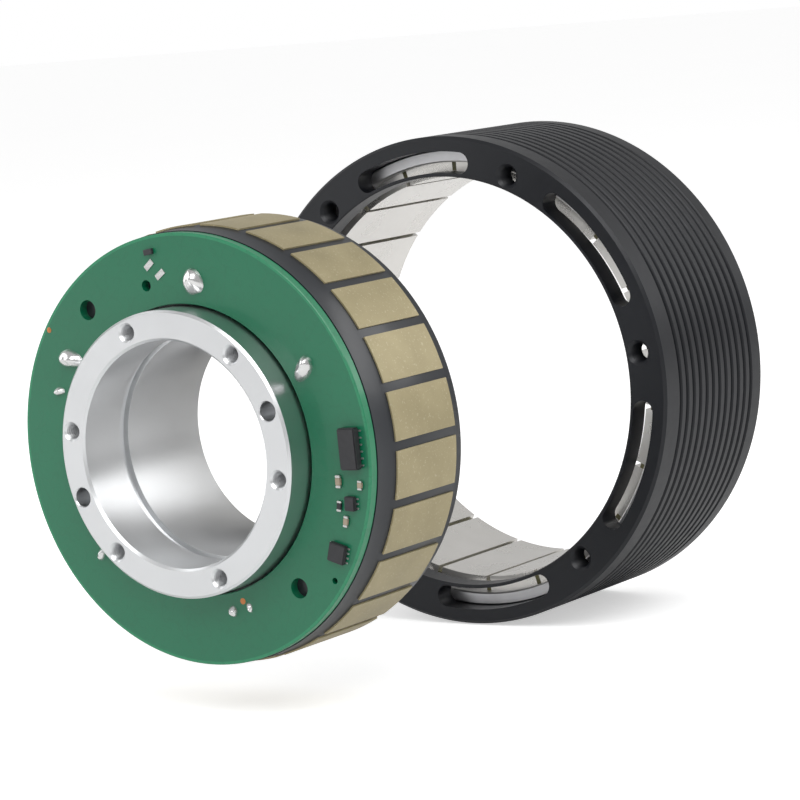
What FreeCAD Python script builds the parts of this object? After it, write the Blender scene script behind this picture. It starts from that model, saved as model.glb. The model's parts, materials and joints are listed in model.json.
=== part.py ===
import FreeCAD, Part
import math
import os

os.makedirs("parts", exist_ok=True)
Vector = FreeCAD.Vector

# Frameless outer-rotor motor kit, in millimetres. The motor axis is Y, with front faces towards -Y.
# Depths are measured backwards from the front face of the mounting hub, which holds the origin.
# Angles run anticlockwise from +X, as seen from the front.

# Mounting hub
hub_radius = 22.75
hub_bore_radius = 18.0
hub_bore_step = 0.8
hub_step_depth = 9.0
hub_step_width = 2.0
hub_length = 29.5
hub_chamfer = 0.4
hub_hole_circle = 41.0
hub_hole_radius = 1.25
hub_hole_depth = 8.0
hub_hole_count = 6
hub_hole_start = 50.0
hub_hole_chamfer = 0.35
dowel_radius = 1.5
dowel_depth = 5.0
dowel_start = 20.0

# Encoder board
board_rim_setback = 0.7
board_front = 5.0
board_thickness = 1.6
board_clearance = 0.35

# Laminated stator core
stator_radius = 35.0
tooth_count = 24
slot_start = 0.0
core_front = 11.0
core_length = 16.0
core_bore_clearance = 0.05
core_ring_width = 3.2
tooth_neck_width = 3.2
tooth_tip_thickness = 1.5
slot_mouth = 1.6

# Winding
insulator_thickness = 0.8
coil_width = 1.3
coil_end_height = 2.2
coil_rear_height = 1.32
coil_root_clearance = 0.4
coil_tip_clearance = 0.9
resin_sink = 0.8
resin_mouth_sink = 0.25
resin_overhang = 2.5

# Board parts
solder_height = 1.4
solder_radius = 1.9
small_solder_radius = 0.8
small_solder_height = 0.7
lead_pin_radius = 0.45
lead_pin_reach = 0.8
lead_pin_clearance = 0.1

# Rotor
rotor_front = 78.0
rotor_radius = 43.0
shell_wall = 2.6
flange_lip = 4.4
rotor_length = 33.0
flange_thickness = 4.0
rotor_chamfer = 0.5
rib_count = 12
rib_pitch = 2.2
groove_width = 1.1
groove_depth = 1.0
front_land = 4.6
rotor_hole_inset = 4.5
rotor_hole_radius = 1.65
rotor_hole_count = 6
rotor_hole_start = 7.5
rotor_hole_chamfer = 0.5
kidney_width = 3.8
kidney_span = 30.0
yoke_thickness = 2.2
yoke_rear_setback = 0.8
magnet_count = 22
magnet_thickness = 2.6
magnet_side_gap = 0.8
magnet_setback = 2.0
magnet_length = 26.0
bond_thickness = 1.6

board_radius = stator_radius - board_rim_setback
resin_radius = stator_radius - resin_sink
yoke_radius = rotor_radius - shell_wall
rotor_bore_radius = yoke_radius - flange_lip
rotor_hole_circle = 2 * (rotor_radius - rotor_hole_inset)
yoke_inner_radius = yoke_radius - yoke_thickness
magnet_inner_radius = yoke_inner_radius - magnet_thickness
board_rear = board_front + board_thickness
core_rear = core_front + core_length
core_inner_radius = hub_radius + core_bore_clearance
core_ring_radius = core_inner_radius + core_ring_width
stator_rear = core_rear + resin_overhang
coil_inner_radius = core_ring_radius + insulator_thickness + coil_root_clearance
coil_outer_radius = stator_radius - tooth_tip_thickness - coil_tip_clearance


def at(radius, angle, depth=0.0):
    return Vector(radius * math.cos(math.radians(angle)), radius * math.sin(math.radians(angle)), -depth)


def disc(radius, front, rear):
    return Part.makeCylinder(radius, rear - front, Vector(0, 0, -rear))


def ring(outer, inner, front, rear):
    return disc(outer, front, rear).cut(disc(inner, front - 1, rear + 1))


def hole(circle, angle, radius, front, depth):
    return Part.makeCylinder(radius, depth + 1, at(circle / 2, angle, front + depth))


def hole_mouth(circle, angle, radius, front, chamfer):
    return Part.makeCone(radius, radius + 2 * chamfer, 2 * chamfer, at(circle / 2, angle, front + chamfer))


def spin(shape, angle):
    turned = shape.copy()
    turned.rotate(Vector(0, 0, 0), Vector(0, 0, 1), angle)
    return turned


def turned_profile(points):
    wire = Part.makePolygon([Vector(radius, 0, -depth) for radius, depth in points + points[:1]])
    return Part.Face(wire).revolve(Vector(0, 0, 0), Vector(0, 0, 1), 360)


def radial_block(inner, outer, width, front, rear):
    return Part.makeBox(outer - inner, width, rear - front, Vector(inner, -width / 2, -rear))


def sector(outer, inner, front, rear, span):
    body = ring(outer, inner, front, rear)
    far = 2 * outer
    corners = [Vector(0, 0, -rear), at(far, -span / 2, rear), at(far, span / 2, rear), Vector(0, 0, -rear)]
    wedge = Part.Face(Part.makePolygon(corners)).extrude(Vector(0, 0, rear - front))
    return body.common(wedge)


def save(name, shape):
    placed = shape.removeSplitter() if len(shape.Solids) == 1 else shape
    placed = placed.copy()
    placed.rotate(Vector(0, 0, 0), Vector(1, 0, 0), 90)
    placed.exportStep("parts/" + name + ".step")


def mounting_hub():
    inner = hub_bore_radius
    step = inner + hub_bore_step
    step_end = hub_step_depth + hub_step_width
    hub = turned_profile([
        (inner + hub_chamfer, 0), (hub_radius - hub_chamfer, 0), (hub_radius, hub_chamfer),
        (hub_radius, hub_length), (inner, hub_length), (inner, step_end), (step, step_end),
        (step, hub_step_depth), (inner, hub_step_depth), (inner, hub_chamfer)])
    for index in range(hub_hole_count):
        angle = hub_hole_start + index * 360 / hub_hole_count
        hub = hub.cut(hole(hub_hole_circle, angle, hub_hole_radius, 0, hub_hole_depth))
        hub = hub.cut(hole_mouth(hub_hole_circle, angle, hub_hole_radius, 0, hub_hole_chamfer))
    for index in range(2):
        hub = hub.cut(hole(hub_hole_circle, dowel_start + 180 * index, dowel_radius, 0, dowel_depth))
    return hub


# Each is the distance in from the board's rim, the angle and the hole's radius
board_holes = [(5.1, 130, 1.6), (7.5, 103.5, 0.9), (6.0, 311, 1.6), (1.9, 322, 0.5)]


def encoder_board():
    board = ring(board_radius, hub_radius + board_clearance, board_front, board_rear)
    for inset, angle, size in board_holes:
        board = board.cut(hole(2 * (board_radius - inset), angle, size, board_front, board_thickness + 1))
    return board


def on_board(inset, angle, width, length, height):
    block = Part.makeBox(width, length, height, Vector(board_radius - inset - width / 2, -length / 2, -board_front))
    return spin(block.makeFillet(height / 5, block.Edges), angle)


def joint(inset, angle, size, height):
    bead = Part.makeCone(size, size * 0.45, height, at(board_radius - inset, angle, board_front))
    return bead.makeFillet(size * 0.3, [bead.Edges[0]])


phase_joint_places = [(7.6, 83), (7.9, 29), (6.8, 148)]
signal_joint_places = [(6.4, 160.5), (7.4, 219.7), (8.3, 281.5), (8.1, 289)]


def lamination_stack():
    core = ring(stator_radius, core_inner_radius, core_front, core_rear)
    tip_radius = stator_radius - tooth_tip_thickness
    pocket = ring(tip_radius, core_ring_radius, core_front - 1, core_rear + 1)
    necks = [spin(radial_block(core_ring_radius - 1, tip_radius + 1, tooth_neck_width,
                               core_front - 2, core_rear + 2), tooth_angle(index))
             for index in range(tooth_count)]
    core = core.cut(pocket.cut(Part.makeCompound(necks)))
    mouths = [spin(radial_block(tip_radius - 1, stator_radius + 1, slot_mouth,
                                core_front - 1, core_rear + 1), slot_start + index * 360 / tooth_count)
              for index in range(tooth_count)]
    return core.cut(Part.makeCompound(mouths))


def tooth_angle(index):
    return slot_start + (index + 0.5) * 360 / tooth_count


def insulator(front, rear):
    cheek = ring(coil_outer_radius + insulator_thickness, core_inner_radius, front, rear)
    rim = core_ring_radius + insulator_thickness
    gaps = ring(coil_outer_radius + 5, rim, front - 1, rear + 1)
    arms = [spin(radial_block(rim - 1, coil_outer_radius + 1, tooth_neck_width, front - 2, rear + 2),
                 tooth_angle(index)) for index in range(tooth_count)]
    return cheek.cut(gaps.cut(Part.makeCompound(arms)))


def coil(angle):
    front = core_front - insulator_thickness - coil_end_height
    rear = core_rear + insulator_thickness + coil_rear_height
    outside = radial_block(coil_inner_radius, coil_outer_radius, tooth_neck_width + 2 * coil_width, front, rear)
    inside = radial_block(coil_inner_radius - 1, coil_outer_radius + 1, tooth_neck_width,
                          core_front - insulator_thickness, core_rear + insulator_thickness)
    return spin(outside.cut(inside), angle)


def phase_coils(phase):
    return [coil(tooth_angle(index)) for index in range(tooth_count) if index % 3 == phase]


def winding_resin(filled):
    front = ring(resin_radius, core_inner_radius, board_rear, core_front)
    rear = ring(resin_radius, core_inner_radius, core_rear, stator_rear)
    middle = ring(stator_radius - resin_mouth_sink, core_ring_radius, core_front, core_rear)
    return front.fuse([rear, middle]).cut(Part.makeCompound(filled))


def rotor_shell():
    rear = rotor_front + rotor_length
    seat = rotor_front + flange_thickness
    points = [(rotor_bore_radius, rotor_front), (rotor_radius - rotor_chamfer, rotor_front),
              (rotor_radius, rotor_front + rotor_chamfer)]
    for index in range(rib_count):
        groove = rotor_front + front_land + index * rib_pitch
        taper = groove_width / 4
        points += [(rotor_radius, groove), (rotor_radius - groove_depth, groove + taper),
                   (rotor_radius - groove_depth, groove + groove_width - taper),
                   (rotor_radius, groove + groove_width)]
    points += [(rotor_radius, rear), (yoke_radius, rear), (yoke_radius, seat), (rotor_bore_radius, seat)]
    shell = turned_profile(points)
    middle = rotor_hole_circle / 2
    for index in range(rotor_hole_count):
        angle = rotor_hole_start + index * 360 / rotor_hole_count
        shell = shell.cut(hole(rotor_hole_circle, angle, rotor_hole_radius, rotor_front, flange_thickness))
        shell = shell.cut(hole_mouth(rotor_hole_circle, angle, rotor_hole_radius, rotor_front,
                                     rotor_hole_chamfer))
        slot = sector(middle + kidney_width / 2, middle - kidney_width / 2, rotor_front - 1, seat, kidney_span)
        for end in (-kidney_span / 2, kidney_span / 2):
            slot = slot.fuse(hole(rotor_hole_circle, end, kidney_width / 2, rotor_front, flange_thickness))
        shell = shell.cut(spin(slot, angle + 180 / rotor_hole_count))
    return shell


magnet_pitch = 360 / magnet_count
magnet_span = magnet_pitch - math.degrees(magnet_side_gap / magnet_inner_radius)
magnet_front = rotor_front + flange_thickness + magnet_setback


def magnet(index):
    block = sector(yoke_inner_radius, magnet_inner_radius, magnet_front, magnet_front + magnet_length,
                   magnet_span)
    return spin(block, index * magnet_pitch)


def magnet_bond():
    gap = sector(yoke_inner_radius, yoke_inner_radius - bond_thickness, magnet_front,
                 magnet_front + magnet_length, magnet_pitch - magnet_span)
    strips = [spin(gap, (index + 0.5) * magnet_pitch) for index in range(magnet_count)]
    return Part.makeCompound(strips)


def build():
    core = lamination_stack()
    front_insulator = insulator(core_front - insulator_thickness, core_front)
    rear_insulator = insulator(core_rear, core_rear + insulator_thickness)
    coils = [phase_coils(phase) for phase in range(3)]
    pin_rear = core_front - insulator_thickness - lead_pin_clearance
    pin_length = pin_rear - board_front + lead_pin_reach
    pins = [Part.makeCylinder(lead_pin_radius, pin_length, at(board_radius - inset, angle, pin_rear))
            for inset, angle in phase_joint_places]
    pin_group = Part.makeCompound(pins)
    filled = [core, front_insulator, rear_insulator, pin_group] + coils[0] + coils[1] + coils[2]
    save("mounting_hub", mounting_hub())
    save("encoder_board", encoder_board().cut(pin_group))
    save("lamination_stack", core)
    save("front_insulator", front_insulator)
    save("rear_insulator", rear_insulator)
    for phase, letter in enumerate("abc"):
        save("coils_phase_" + letter, Part.makeCompound([each.cut(pin_group) for each in coils[phase]]))
    save("winding_resin", winding_resin(filled))
    save("lead_pins", pin_group)
    beads = [joint(inset, angle, solder_radius, solder_height) for inset, angle in phase_joint_places]
    save("phase_joints", Part.makeCompound([bead.cut(pin_group) for bead in beads]))
    save("signal_joints", Part.makeCompound(
        [joint(inset, angle, small_solder_radius, small_solder_height)
         for inset, angle in signal_joint_places]))
    save("sensor_package", on_board(3.1, 1.3, 3.6, 6.6, 1.6))
    save("driver_chips", Part.makeCompound([on_board(3.2, 345.5, 1.8, 2.2, 1.0),
                                            on_board(3.3, 330, 3.2, 3.2, 1.0)]))
    save("small_parts", Part.makeCompound([on_board(5.9, 351, 1.0, 1.8, 0.6),
                                           on_board(2.4, 352.0, 0.8, 1.2, 0.6),
                                           on_board(3.4, 339.5, 0.8, 1.6, 0.6)]))
    save("thermistor", on_board(2.5, 99.0, 0.9, 1.7, 0.6))
    save("thermistor_pads", Part.makeCompound([on_board(4.5, 100.2, 1.0, 1.6, 0.15),
                                               on_board(6.3, 96.6, 1.0, 1.6, 0.15)]))
    save("rotor_shell", rotor_shell())
    yoke_front = rotor_front + flange_thickness
    yoke_rear = rotor_front + rotor_length - yoke_rear_setback
    save("yoke_ring", ring(yoke_radius, yoke_inner_radius, yoke_front, yoke_rear))
    for index in range(magnet_count):
        save("magnet_%02d" % (index + 1), magnet(index))
    save("magnet_bond", magnet_bond())


build()
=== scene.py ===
import json
import math
import random
import bpy
import bmesh
from mathutils import Matrix, Vector


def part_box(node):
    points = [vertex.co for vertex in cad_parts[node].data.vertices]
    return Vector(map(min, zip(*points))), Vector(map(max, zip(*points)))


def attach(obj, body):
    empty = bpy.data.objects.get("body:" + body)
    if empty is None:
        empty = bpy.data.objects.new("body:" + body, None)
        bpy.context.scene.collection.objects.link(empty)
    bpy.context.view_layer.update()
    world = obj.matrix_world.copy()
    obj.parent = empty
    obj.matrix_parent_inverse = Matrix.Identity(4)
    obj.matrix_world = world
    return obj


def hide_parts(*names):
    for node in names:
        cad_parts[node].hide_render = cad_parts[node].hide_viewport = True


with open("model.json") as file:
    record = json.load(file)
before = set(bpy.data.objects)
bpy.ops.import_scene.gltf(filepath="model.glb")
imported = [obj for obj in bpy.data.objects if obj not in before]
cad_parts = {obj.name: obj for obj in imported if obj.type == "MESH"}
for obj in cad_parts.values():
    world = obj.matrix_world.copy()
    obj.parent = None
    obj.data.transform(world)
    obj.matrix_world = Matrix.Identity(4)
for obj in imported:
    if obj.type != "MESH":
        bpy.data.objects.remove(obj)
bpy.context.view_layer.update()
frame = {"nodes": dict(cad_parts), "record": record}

mm = 0.001
nodes = frame["nodes"]
random.seed(24)


def nodeRadius(node):
    low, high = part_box(node)
    return (high[2] - low[2]) / 2


def nodeDepth(node):
    low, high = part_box(node)
    return low[1], high[1]


# Shader maths

class Sock:
    def __init__(self, tree, socket):
        self.tree = tree
        self.socket = socket

    def maths(self, operation, first, second=None):
        node = self.tree.nodes.new("ShaderNodeMath")
        node.operation = operation
        for slot, value in enumerate((first, second)):
            if isinstance(value, Sock):
                self.tree.links.new(value.socket, node.inputs[slot])
            elif value is not None:
                node.inputs[slot].default_value = value
        return Sock(self.tree, node.outputs[0])

    def __add__(self, other): return self.maths("ADD", self, other)
    def __radd__(self, other): return self.maths("ADD", other, self)
    def __sub__(self, other): return self.maths("SUBTRACT", self, other)
    def __rsub__(self, other): return self.maths("SUBTRACT", other, self)
    def __mul__(self, other): return self.maths("MULTIPLY", self, other)
    def __rmul__(self, other): return self.maths("MULTIPLY", other, self)
    def __truediv__(self, other): return self.maths("DIVIDE", self, other)
    def above(self, level): return self.maths("GREATER_THAN", self, level)
    def wave(self): return self.maths("SINE", self)


class Finish:
    def __init__(self, name, **constants):
        self.material = bpy.data.materials.new(name)
        self.material.use_nodes = True
        self.tree = self.material.node_tree
        self.shader = self.tree.nodes["Principled BSDF"]
        for key, value in constants.items():
            self.shader.inputs[key.replace("_", " ")].default_value = value
        place = self.add("ShaderNodeTexCoord").outputs["Object"]
        self.place = Sock(self.tree, place)
        parts = self.add("ShaderNodeSeparateXYZ", {}, Vector=self.place).outputs
        self.x, self.y, self.z = [Sock(self.tree, part) for part in parts]

    def add(self, kind, settings=None, **sockets):
        node = self.tree.nodes.new(kind)
        for key, value in (settings or {}).items():
            setattr(node, key, value)
        for key, value in sockets.items():
            target = node.inputs[key.replace("_", " ")]
            if isinstance(value, Sock):
                self.tree.links.new(value.socket, target)
            else:
                target.default_value = value
        return node

    def noise(self, scale, detail=3.0, vector=None):
        node = self.add("ShaderNodeTexNoise", {}, Vector=vector or self.place, Scale=scale, Detail=detail)
        return Sock(self.tree, node.outputs["Fac"])

    def stretched(self, x, y, z):
        node = self.add("ShaderNodeVectorMath", {"operation": "MULTIPLY"})
        self.tree.links.new(self.place.socket, node.inputs[0])
        node.inputs[1].default_value = (x, y, z)
        return Sock(self.tree, node.outputs[0])

    def radius(self):
        squared = self.x * self.x + self.z * self.z
        return squared.maths("SQRT", squared)

    def blend(self, factor, first, second):
        node = self.add("ShaderNodeMix", {"data_type": "RGBA"})
        self.tree.links.new(factor.socket, node.inputs[0])
        for slot, value in ((6, first), (7, second)):
            if isinstance(value, Sock):
                self.tree.links.new(value.socket, node.inputs[slot])
            else:
                node.inputs[slot].default_value = (*value, 1)
        return Sock(self.tree, node.outputs[2])

    def feed(self, name, value):
        self.tree.links.new(value.socket, self.shader.inputs[name])

    def bump(self, height, distance, strength=1.0):
        node = self.add("ShaderNodeBump", {}, Height=height, Distance=distance, Strength=strength)
        self.tree.links.new(node.outputs["Normal"], self.shader.inputs["Normal"])


def turnedMetal():
    metal = Finish("turnedHubAluminium", Metallic=1.0)
    rings = metal.noise(1.0, 2.0, metal.stretched(250, 250, 250))
    lathe = (metal.radius() * 42000 + metal.y * 30000).wave()
    cloud = metal.noise(60, 4.0)
    metal.feed("Base Color", metal.blend(cloud, (0.66, 0.67, 0.68), (0.76, 0.77, 0.78)))
    metal.feed("Roughness", 0.24 + cloud * 0.12 + rings * 0.05)
    metal.bump(lathe * 0.5 + rings, 0.000006, 0.5)
    return metal.material


board = {"edge": 0.12 * mm, "holes": [(29.2, 130, 1.6), (26.8, 103.5, 0.9), (28.3, 311, 1.6), (32.4, 322, 0.5)],
         "goldDots": [(33.4, 144.8, 0.45), (24.9, 287, 0.5)], "brightRim": 0.0338}


def boardMask():
    mask = Finish("greenSolderMask", Coat_Weight=0.35, Coat_Roughness=0.12)
    # Painted highlight: beyond the brightRim radius the outer rim of the solder mask is blended towards a lighter
    # green (lit).
    rim = mask.radius().above(board["brightRim"])
    tracks = (mask.noise(420, 1.0) - 0.5).maths("ABSOLUTE", mask.noise(420, 1.0) - 0.5)
    pour = tracks.maths("LESS_THAN", tracks, 0.025)
    base = mask.blend(mask.noise(35, 2.0), (0.0, 0.115, 0.052), (0.0, 0.150, 0.068))
    lit = mask.blend(rim * 0.35, base, (0.02, 0.33, 0.14))
    mask.feed("Base Color", mask.blend(pour * 0.22, lit, (0.0, 0.11, 0.05)))
    mask.feed("Roughness", 0.34 + mask.noise(900, 2.0) * 0.12)
    mask.bump(pour * 0.6 + mask.noise(1500, 2.0) * 0.4, 0.00002, 0.35)
    return mask.material


def coreLacquer():
    lacquer = Finish("lacqueredCoreSteel", Metallic=0.35, Coat_Weight=0.15, Coat_Roughness=0.3)
    sheets = (lacquer.y * (2 * math.pi / (0.35 * mm))).wave()
    patch = lacquer.noise(160, 6.0)
    speck = lacquer.noise(2600, 3.0).above(0.64)
    khaki = lacquer.blend(patch, (0.27, 0.225, 0.115), (0.46, 0.395, 0.235))
    lacquer.feed("Base Color", lacquer.blend(speck * 0.3, khaki, (0.66, 0.60, 0.44)))
    lacquer.feed("Roughness", 0.38 + patch * 0.22)
    lacquer.bump(sheets * 0.35 + patch, 0.00002, 0.5)
    return lacquer.material


def castResin():
    resin = Finish("castResin", Coat_Weight=0.2, Coat_Roughness=0.2)
    cloud = resin.noise(90, 4.0)
    resin.feed("Base Color", resin.blend(cloud, (0.004, 0.005, 0.008), (0.014, 0.018, 0.024)))
    resin.feed("Roughness", 0.26 + cloud * 0.25)
    resin.bump(resin.noise(220, 3.0), 0.00008, 0.4)
    return resin.material


def blackAnodise():
    black = Finish("blackAnodisedAluminium", Metallic=0.2)
    lathe = (black.radius() * 30000 + black.y * 24000).wave()
    grain = black.noise(700, 3.0)
    black.feed("Base Color", black.blend(black.noise(45, 2.0), (0.003, 0.004, 0.006), (0.009, 0.010, 0.014)))
    black.feed("Roughness", 0.30 + grain * 0.14)
    black.bump(lathe * 0.4 + grain, 0.000008, 0.5)
    return black.material


def magnetNickel():
    nickel = Finish("nickelPlatedMagnet", Metallic=0.85)
    cloud = nickel.noise(130, 4.0)
    nickel.feed("Base Color", nickel.blend(cloud, (0.74, 0.72, 0.68), (0.90, 0.88, 0.85)))
    nickel.feed("Roughness", 0.20 + cloud * 0.16)
    nickel.bump(nickel.noise(500, 3.0), 0.00001, 0.4)
    return nickel.material


def plainFinish(name, dark, light, roughness, metallic=0.0, grain=300.0, depth=0.00002):
    finish = Finish(name, Metallic=metallic)
    cloud = finish.noise(grain, 4.0)
    finish.feed("Base Color", finish.blend(cloud, dark, light))
    finish.feed("Roughness", roughness + cloud * 0.15)
    finish.bump(cloud, depth, 0.5)
    return finish.material


finishes = {
    "hub_metal": turnedMetal(), "board": boardMask(), "core_steel": coreLacquer(), "resin": castResin(),
    "black_anodise": blackAnodise(), "magnet": magnetNickel(),
    "insulator": plainFinish("blackInsulator", (0.02, 0.02, 0.022), (0.04, 0.04, 0.043), 0.45),
    "copper": plainFinish("enamelledCopper", (0.42, 0.16, 0.06), (0.60, 0.26, 0.11), 0.25, 0.9),
    "solder": plainFinish("solderTin", (0.60, 0.60, 0.60), (0.86, 0.86, 0.85), 0.14, 1.0, 600.0, 0.00006),
    "package": plainFinish("mouldedPackage", (0.012, 0.012, 0.014), (0.03, 0.03, 0.034), 0.42, 0.0, 900.0),
    "yoke_steel": plainFinish("yokeSteel", (0.50, 0.50, 0.51), (0.68, 0.68, 0.70), 0.26, 1.0),
    "bond": plainFinish("oliveBond", (0.035, 0.033, 0.012), (0.13, 0.12, 0.045), 0.50),
}
ceramicTan = plainFinish("ceramicTan", (0.30, 0.24, 0.17), (0.42, 0.35, 0.27), 0.4)
tinnedEnd = plainFinish("tinnedEnd", (0.55, 0.55, 0.54), (0.75, 0.75, 0.74), 0.25, 1.0)
print("finishes made")


# Mesh helpers

def finishedObject(name, mesh, slot, body, replaced=(), smoothAngle=35):
    mesh.shade_smooth()
    mesh.set_sharp_from_angle(angle=math.radians(smoothAngle))
    piece = bpy.data.objects.new(name, mesh)
    bpy.context.scene.collection.objects.link(piece)
    mesh.materials.clear()
    mesh.materials.append(finishes[slot])
    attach(piece, body)
    if replaced:
        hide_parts(*replaced)
    return piece


def turnedMesh(name, profile, segments=256, centre=(0, 0)):
    builder = bmesh.new()
    rings = []
    for step in range(segments):
        angle = 2 * math.pi * step / segments
        rings.append([builder.verts.new((centre[0] + r * math.cos(angle), y, centre[1] + r * math.sin(angle)))
                      for r, y in profile])
    count = len(profile)
    for step in range(segments):
        here, there = rings[step], rings[(step + 1) % segments]
        for index in range(count):
            after = (index + 1) % count
            builder.faces.new((here[index], here[after], there[after], there[index]))
    bmesh.ops.recalc_face_normals(builder, faces=builder.faces)
    mesh = bpy.data.meshes.new(name)
    builder.to_mesh(mesh)
    builder.free()
    return mesh


def plugMesh(builder, profile, centre, segments=40):
    loops = []
    for radius, y in profile:
        loops.append([builder.verts.new((centre[0] + radius * math.cos(2 * math.pi * step / segments), y,
                                         centre[1] + radius * math.sin(2 * math.pi * step / segments)))
                      for step in range(segments)])
    for here, there in zip(loops, loops[1:]):
        for step in range(segments):
            after = (step + 1) % segments
            builder.faces.new((here[step], here[after], there[after], there[step]))
    builder.faces.new(loops[0])
    builder.faces.new(loops[-1])


def sweptMesh(builder, outline, front, rear):
    near = [builder.verts.new((x, front, z)) for x, z in outline]
    far = [builder.verts.new((x, rear, z)) for x, z in outline]
    count = len(outline)
    for index in range(count):
        after = (index + 1) % count
        builder.faces.new((near[index], near[after], far[after], far[index]))
    builder.faces.new(near)
    builder.faces.new(far)


def meshOf(builder, name):
    bmesh.ops.recalc_face_normals(builder, faces=builder.faces)
    mesh = bpy.data.meshes.new(name)
    builder.to_mesh(mesh)
    builder.free()
    return mesh


def cutMesh(mesh, cutter):
    body = bpy.data.objects.new("rough", mesh)
    tool = bpy.data.objects.new("tool", cutter)
    for each in (body, tool):
        bpy.context.scene.collection.objects.link(each)
    cut = body.modifiers.new("cut", "BOOLEAN")
    cut.operation = "DIFFERENCE"
    cut.solver = "EXACT"
    cut.object = tool
    bpy.context.view_layer.update()
    result = bpy.data.meshes.new_from_object(body.evaluated_get(bpy.context.evaluated_depsgraph_get()))
    for each in (body, tool):
        bpy.data.objects.remove(each)
    return result


def polar(radius, degrees):
    return radius * math.cos(math.radians(degrees)), radius * math.sin(math.radians(degrees))


def threadedPlug(builder, centre, bore, front, depth, mouth, pitch):
    profile = [(bore + 2 * mouth, front - mouth), (bore, front + mouth)]
    turns = int((depth - mouth) / pitch)
    for turn in range(turns):
        start = front + mouth + turn * pitch
        profile += [(bore * 1.12, start + pitch * 0.5), (bore, start + pitch)]
    profile += [(bore, front + depth), (bore * 0.02, front + depth + bore * 0.5)]
    plugMesh(builder, profile, centre, 32)


def sectorMesh(name, inner, outer, front, rear, middle, span, edge, steps=12):
    builder = bmesh.new()
    outline = [polar(outer, middle - span / 2 + span * step / steps) for step in range(steps + 1)]
    outline += [polar(inner, middle + span / 2 - span * step / steps) for step in range(steps + 1)]
    sweptMesh(builder, outline, front, rear)
    sharp = [item for item in builder.edges if item.calc_face_angle(0) > math.radians(40)]
    bmesh.ops.bevel(builder, geom=sharp, offset=edge, segments=2, affect="EDGES", clamp_overlap=True)
    return meshOf(builder, name)


# Mounting hub

hub = {"face": 0.0, "bore": 18.0 * mm, "boreStep": 0.8 * mm, "stepAt": 9 * mm, "stepWide": 2 * mm,
       "chamfer": 0.4 * mm, "holeCircle": 20.5 * mm, "tapped": 1.25 * mm, "tappedDepth": 7.5 * mm,
       "firstTapped": 50, "dowel": 1.5 * mm, "dowelDepth": 5 * mm, "firstDowel": 20, "pitch": 0.5 * mm}


def buildHub():
    outer = nodeRadius("mounting_hub")
    rear = nodeDepth("mounting_hub")[1]
    edge, bore, step = hub["chamfer"], hub["bore"], hub["bore"] + hub["boreStep"]
    stepEnd = hub["stepAt"] + hub["stepWide"]
    profile = [(bore + edge, 0), (outer - edge, 0), (outer, edge), (outer, rear - edge), (outer - edge, rear),
               (bore + edge, rear), (bore, rear - edge), (bore, stepEnd), (step, stepEnd - edge / 2),
               (step, hub["stepAt"]), (bore, hub["stepAt"]), (bore, edge)]
    cutters = bmesh.new()
    for index in range(6):
        threadedPlug(cutters, polar(hub["holeCircle"], hub["firstTapped"] + 60 * index), hub["tapped"], 0,
                     hub["tappedDepth"], 0.35 * mm, hub["pitch"])
    for index in range(2):
        place = polar(hub["holeCircle"], hub["firstDowel"] + 180 * index)
        profileOfDowel = [(hub["dowel"] * 1.2, -edge / 2), (hub["dowel"], edge / 2),
                          (hub["dowel"], hub["dowelDepth"])]
        plugMesh(cutters, profileOfDowel, place)
    mesh = cutMesh(turnedMesh("hubBlank", profile), meshOf(cutters, "hubTool"))
    finishedObject("mountingHub", mesh, "hub_metal", "stator", ["mounting_hub"])


buildHub()
print("hub made")


# Encoder board and what is soldered to it

joints = {"large": [(26.7, 83, 2.3, 1.5), (26.4, 29, 2.1, 1.45), (27.5, 148, 2.2, 1.5)],
          "small": [(27.9, 160.5, 1.0, 0.9), (26.9, 219.7, 1.0, 0.9), (26.0, 281.5, 1.0, 0.9),
                    (26.2, 289, 0.8, 0.6)]}


def buildBoard():
    front, rear = nodeDepth("encoder_board")
    outer = nodeRadius("encoder_board")
    inner = nodeRadius("mounting_hub") + 0.35 * mm
    edge = board["edge"]
    profile = [(inner, front + edge), (inner + edge, front), (outer - edge, front), (outer, front + edge),
               (outer, rear - edge), (outer - edge, rear), (inner + edge, rear), (inner, rear - edge)]
    cutters = bmesh.new()
    for radius, angle, size in board["holes"]:
        plugMesh(cutters, [(size * mm, front - mm), (size * mm, rear + mm)], polar(radius * mm, angle))
    mesh = cutMesh(turnedMesh("boardBlank", profile), meshOf(cutters, "boardTool"))
    finishedObject("encoderBoard", mesh, "board", "stator", ["encoder_board"])
    for index, (radius, angle, size) in enumerate(board["goldDots"]):
        builder = bmesh.new()
        plugMesh(builder, [(size * mm, front), (size * mm, front - 0.03 * mm), (size * 0.6 * mm, front - 0.05 * mm)],
                 polar(radius * mm, angle))
        finishedObject("testPoint%d" % index, meshOf(builder, "testPoint"), "copper", "stator")


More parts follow.
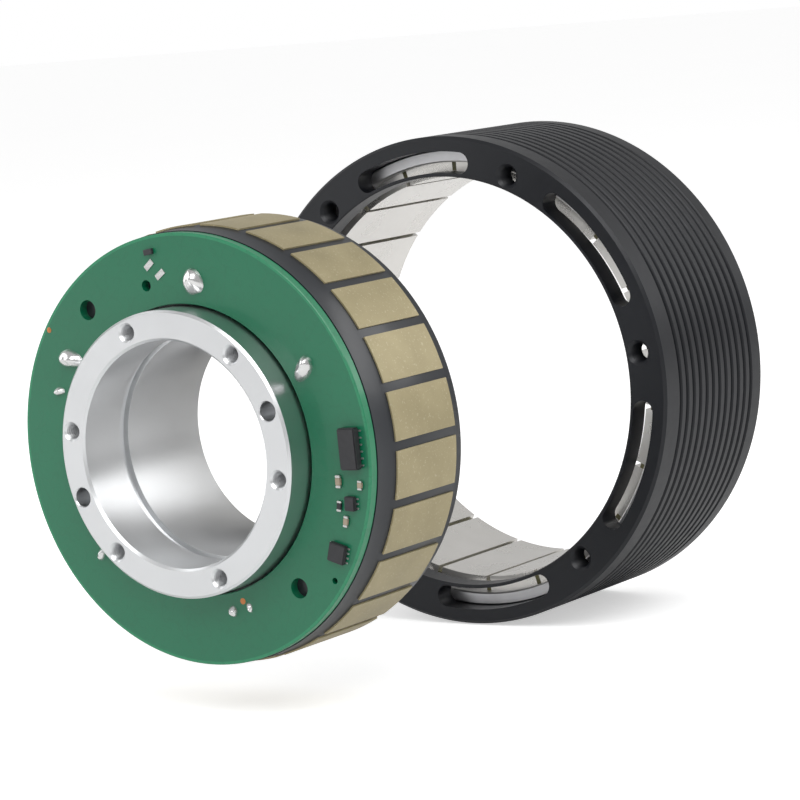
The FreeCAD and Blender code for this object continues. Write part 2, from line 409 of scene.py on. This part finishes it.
def solderBead(name, radius, angle, size, height, replaced=()):
    front = nodeDepth("encoder_board")[0]
    centre = polar(radius * mm, angle)
    phase = random.uniform(0, 6.28)
    lean = random.uniform(-0.25, 0.25)
    builder = bmesh.new()
    loops = []
    rings, segments = 16, 56
    for ring in range(rings + 1):
        share = max(ring / rings, 0.02)
        rise = max(0.0, 1 - share ** 2.2) ** 0.8
        loop = []
        for step in range(segments):
            around = 2 * math.pi * step / segments
            lump = 1 + share * (0.10 * math.sin(2 * around + phase) + 0.06 * math.sin(3 * around - phase))
            ridge = 1 + 0.12 * math.sin(2 * around + phase) * share * (1 - share) * 4
            x, z = share * size * lump, share * size * lump * 0.74
            turned = Vector((x * math.cos(around) + lean * size * rise, z * math.sin(around)))
            turned.rotate(Matrix.Rotation(math.radians(angle + 20), 2))
            loop.append(builder.verts.new((centre[0] + turned.x * mm, front - rise * ridge * height * mm,
                                           centre[1] + turned.y * mm)))
        loops.append(loop)
    for here, there in zip(loops, loops[1:]):
        for step in range(segments):
            after = (step + 1) % segments
            builder.faces.new((here[step], here[after], there[after], there[step]))
    builder.faces.new(loops[0])
    builder.faces.new(loops[-1])
    finishedObject(name, meshOf(builder, name), "solder", "stator", replaced, 70)


buildBoard()
for index, (radius, angle, size, height) in enumerate(joints["large"]):
    solderBead("phaseJoint%d" % index, radius, angle, size, height, ["phase_joints"] if index == 0 else ())
for index, (radius, angle, size, height) in enumerate(joints["small"]):
    solderBead("signalJoint%d" % index, radius, angle, size, height, ["signal_joints"] if index == 0 else ())


def chip(name, radius, angle, wide, long, high, slot, turn=0.0, endCaps=False, legs=0, replaced=()):
    front = nodeDepth("encoder_board")[0]
    frameAt = Matrix.Rotation(-math.radians(angle + turn), 4, "Y")
    centre = polar(radius * mm, angle)
    builder = bmesh.new()

    def block(x, z, width, length, low, top, bevel):
        made = bmesh.ops.create_cube(builder, size=1.0)["verts"]
        for vert in made:
            local = Vector((x + vert.co.x * width, 0, z + vert.co.z * length)) * mm
            local = frameAt @ local
            vert.co = Vector((centre[0] + local.x, front - (low + (0.5 - vert.co.y) * (top - low)) * mm,
                              centre[1] + local.z))
        sides = {item for vert in made for item in vert.link_edges}
        bmesh.ops.bevel(builder, geom=list(sides), offset=bevel * mm, segments=2, affect="EDGES")

    block(0, 0, wide, long * (0.6 if endCaps else 1.0), 0.05, high, high * 0.12)
    body = finishedObject(name, meshOf(builder, name), slot, "stator", replaced)
    builder = bmesh.new()
    if endCaps:
        for side in (-1, 1):
            block(0, side * long * 0.41, wide, long * 0.2, 0.0, high, high * 0.12)
    for leg in range(legs):
        across = (leg - (legs - 1) / 2) * long / legs
        for side in (-1, 1):
            block(side * (wide / 2 + 0.18), across, 0.4, 0.28, 0.0, 0.2, 0.04)
    if endCaps or legs:
        metal = finishedObject(name + "Ends", meshOf(builder, name), "solder", "stator")
        metal.data.materials[0] = tinnedEnd
    return body


chip("sensorPackage", 31.0, 1.3, 3.2, 6.4, 1.5, "package", 0, False, 6, ["sensor_package"])
chip("driverChip", 31.1, 345.5, 1.8, 2.2, 0.9, "package", 12, False, 3, ["driver_chips"])
chip("squareChip", 31.0, 330, 3.0, 3.0, 0.95, "package", 14, False, 4)
chip("capacitorA", 28.4, 351, 0.9, 1.9, 0.55, "package", 8, True, 0, ["small_parts"]).data.materials[0] = ceramicTan
chip("capacitorB", 32.4, 351.2, 0.8, 1.4, 0.5, "package", 5, True).data.materials[0] = ceramicTan
chip("capacitorC", 30.7, 339.8, 0.8, 1.7, 0.5, "package", 10, True).data.materials[0] = ceramicTan
chip("resistorD", 29.0, 343.5, 0.8, 1.6, 0.45, "package", 8, True)
chip("thermistorPadA", 29.8, 100.2, 0.95, 1.9, 0.12, "solder", 30, replaced=["thermistor_pads"])
chip("thermistorPadB", 28.0, 96.6, 0.95, 1.9, 0.12, "solder", 30)
print("board made")


# Core teeth and winding resin

core = {"teeth": 24, "slot": 1.5 * mm, "tip": 1.5 * mm, "edge": 0.12 * mm, "resinSink": 0.25 * mm}


def buildCore():
    outer = nodeRadius("lamination_stack")
    front, rear = nodeDepth("lamination_stack")
    step = 360 / core["teeth"]
    span = step - math.degrees(core["slot"] / outer)
    joined = bmesh.new()
    for index in range(core["teeth"]):
        mesh = sectorMesh("tooth", outer - core["tip"], outer, front, rear, (index + 0.5) * step, span,
                          core["edge"], 10)
        joined.from_mesh(mesh)
        bpy.data.meshes.remove(mesh)
    finishedObject("coreTeeth", meshOf(joined, "coreTeeth"), "core_steel", "stator", ["lamination_stack"])


def buildResin():
    collar = nodeRadius("winding_resin") - core["resinSink"]
    middle = nodeRadius("lamination_stack") - core["resinSink"]
    front, rear = nodeDepth("winding_resin")
    coreFront, coreRear = nodeDepth("lamination_stack")
    inner = nodeRadius("mounting_hub") + 0.05 * mm
    radius = min(collar, middle - 0.3 * mm)
    soft = 0.5 * mm
    profile = [(inner, front), (radius, front), (radius + 0.1 * mm, coreFront - soft), (middle, coreFront),
               (middle, coreRear), (radius + 0.1 * mm, coreRear + soft), (radius, rear - soft),
               (radius - soft * 0.3, rear - soft * 0.3), (radius - soft, rear), (inner, rear)]
    finishedObject("windingResin", turnedMesh("windingResin", profile), "resin", "stator", ["winding_resin"])


buildCore()
buildResin()
print("core made")


# Rotor shell, yoke and magnets

rotor = {"bore": 36.0 * mm, "chamfer": 0.5 * mm, "flange": 4.0 * mm, "land": 4.6 * mm, "ribs": 12,
         "pitch": 2.2 * mm, "groove": 1.1 * mm, "grooveDeep": 1.0 * mm, "holeCircle": 38.5 * mm,
         "firstHole": 7.5, "hole": 1.65 * mm, "kidneyWide": 3.8 * mm, "kidneySpan": 30, "soft": 0.15 * mm}
magnets = {"count": 22, "inner": 35.6 * mm, "sideGap": 0.8 * mm, "edge": 0.3 * mm}


def kidneyOutline(middle):
    half = rotor["kidneyWide"] / 2
    span = rotor["kidneySpan"]
    steps = 24
    outline = [polar(rotor["holeCircle"] + half, middle - span / 2 + span * step / steps)
               for step in range(steps + 1)]
    for end, first in ((middle + span / 2, 0), (middle - span / 2, 180)):
        centre = polar(rotor["holeCircle"], end)
        outline += [(centre[0] + polar(half, end + first + turn)[0], centre[1] + polar(half, end + first + turn)[1])
                    for turn in range(15, 180, 15)]
        if first == 0:
            outline += [polar(rotor["holeCircle"] - half, middle + span / 2 - span * step / steps)
                        for step in range(steps + 1)]
    return outline


def buildShell():
    outer = nodeRadius("rotor_shell")
    front, rear = nodeDepth("rotor_shell")
    seat = nodeRadius("yoke_ring")
    edge, soft = rotor["chamfer"], rotor["soft"]
    floor = outer - rotor["grooveDeep"]
    profile = [(rotor["bore"] + soft, front), (outer - edge, front), (outer, front + edge)]
    for index in range(rotor["ribs"]):
        start = front + rotor["land"] + index * rotor["pitch"]
        end = start + rotor["groove"]
        profile += [(outer, start), (outer - soft, start + soft), (floor, start + 2 * soft),
                    (floor, end - 2 * soft), (outer - soft, end - soft), (outer, end)]
    profile += [(outer, rear - soft), (outer - soft, rear), (seat + soft, rear), (seat, rear - soft),
                (seat, front + rotor["flange"]), (rotor["bore"], front + rotor["flange"]),
                (rotor["bore"], front + soft)]
    cutters = bmesh.new()
    for index in range(6):
        angle = rotor["firstHole"] + 60 * index
        threadedPlug(cutters, polar(rotor["holeCircle"], angle), rotor["hole"], front, rotor["flange"] + mm,
                     0.5 * mm, 0.5 * mm)
        sweptMesh(cutters, kidneyOutline(angle + 30), front - mm, front + rotor["flange"] + 0.01 * mm)
    mesh = cutMesh(turnedMesh("shellBlank", profile, 288), meshOf(cutters, "shellTool"))
    finishedObject("rotorShell", mesh, "black_anodise", "rotor", ["rotor_shell"])


def buildYoke():
    outer = nodeRadius("yoke_ring")
    front, rear = nodeDepth("yoke_ring")
    inner = outer - 2.2 * mm
    soft = 0.25 * mm
    profile = [(inner, front + soft), (inner + soft, front), (outer - soft, front), (outer, front + soft),
               (outer, rear - soft), (outer - soft, rear), (inner + soft, rear), (inner, rear - soft)]
    finishedObject("yokeRing", turnedMesh("yokeRing", profile), "yoke_steel", "rotor", ["yoke_ring"])
    return inner


def buildMagnets(outer):
    pitch = 360 / magnets["count"]
    span = pitch - math.degrees(magnets["sideGap"] / magnets["inner"])
    for index in range(magnets["count"]):
        node = "magnet_%02d" % (index + 1)
        front, rear = nodeDepth(node)
        mesh = sectorMesh(node, magnets["inner"], outer, front, rear, index * pitch, span, magnets["edge"])
        finishedObject("magnetBlock%02d" % (index + 1), mesh, "magnet", "rotor", [node])


buildShell()
buildMagnets(buildYoke())
print("rotor made")

slotOf = {part["node"]: part["material_slot"] for part in frame["record"]["subparts"]}
for name, node in nodes.items():
    node.data.materials.clear()
    node.data.materials.append(finishes[slotOf[name]])

# Floor, light and camera

room = {"floor": -0.0432, "floorSize": 6.0, "floorGlow": 0.5, "lampPower": 4.0, "skyLevel": 0.5}


def buildFloor():
    builder = bmesh.new()
    bmesh.ops.create_grid(builder, x_segments=1, y_segments=1, size=room["floorSize"])
    mesh = meshOf(builder, "floor")
    floor = bpy.data.objects.new("floor", mesh)
    floor.location.z = room["floor"]
    bpy.context.scene.collection.objects.link(floor)
    pale = Finish("paleFloor", Roughness=0.9)
    pale.feed("Base Color", pale.blend(pale.noise(4, 2.0), (0.93, 0.93, 0.93), (0.95, 0.95, 0.95)))
    seen = pale.add("ShaderNodeLightPath").outputs["Is Camera Ray"]
    glow = room["floorGlow"]
    pale.feed("Emission Color", pale.blend(Sock(pale.tree, seen), (0, 0, 0), (glow, glow, glow)))
    pale.shader.inputs["Emission Strength"].default_value = 1.0
    mesh.materials.append(pale.material)


def buildLamp(name, place, size, power):
    light = bpy.data.lights.new(name, "AREA")
    light.shape = "RECTANGLE"
    light.size, light.size_y = size
    light.energy = power
    lamp = bpy.data.objects.new(name, light)
    lamp.location = place
    lamp.rotation_euler = (Vector((0, 0.05, 0)) - Vector(place)).to_track_quat("-Z", "Y").to_euler()
    bpy.context.scene.collection.objects.link(lamp)


def buildWorld():
    world = bpy.data.worlds.new("paleRoom")
    bpy.context.scene.world = world
    world.use_nodes = True
    tree = world.node_tree
    background = tree.nodes["Background"]
    background.inputs["Color"].default_value = (1, 1, 1, 1)
    path = tree.nodes.new("ShaderNodeLightPath")
    start = Sock(tree, path.outputs["Is Camera Ray"])
    strength = start.maths("MAXIMUM", start, room["skyLevel"])
    tree.links.new(strength.socket, background.inputs["Strength"])


camera = {"turn": 0.63, "tip": -0.251, "hubAt": (-0.03548, 0.01106, 0.50934), "focal": 3277.2,
          "centreOff": (0.95, -15.64), "picture": 800, "sensor": 36.0}


def buildCamera():
    turn, tip = camera["turn"], camera["tip"]
    axis = Vector((math.sin(turn) * math.cos(tip), math.sin(turn) * math.sin(tip), math.cos(turn)))
    left = axis.cross(Vector((0, 1, 0))).normalized()
    up = axis.cross(left)
    hubAt = Vector(camera["hubAt"])
    rows = (-left, axis, up)
    matrix = Matrix([(row.x, -row.y, -row.z) for row in rows]).to_4x4()
    matrix.translation = Vector([-row.dot(hubAt) for row in rows])
    lens = bpy.data.cameras.new("photoCamera")
    lens.sensor_width = camera["sensor"]
    lens.lens = camera["focal"] / camera["picture"] * camera["sensor"]
    lens.shift_x = -camera["centreOff"][0] / camera["picture"]
    lens.shift_y = camera["centreOff"][1] / camera["picture"]
    viewer = bpy.data.objects.new("photoCamera", lens)
    viewer.matrix_world = matrix
    bpy.context.scene.collection.objects.link(viewer)
    bpy.context.scene.camera = viewer


buildFloor()
buildWorld()
buildLamp("keyLamp", (0.35, -0.45, 0.65), (0.6, 0.6), room["lampPower"])
buildLamp("sideLamp", (-0.65, -0.35, 0.35), (0.5, 0.7), room["lampPower"] * 0.6)
buildLamp("rearLamp", (0.55, 0.55, 0.45), (0.4, 0.6), room["lampPower"] * 0.5)
buildCamera()
bpy.context.scene.view_settings.view_transform = "Standard"
print("room made")
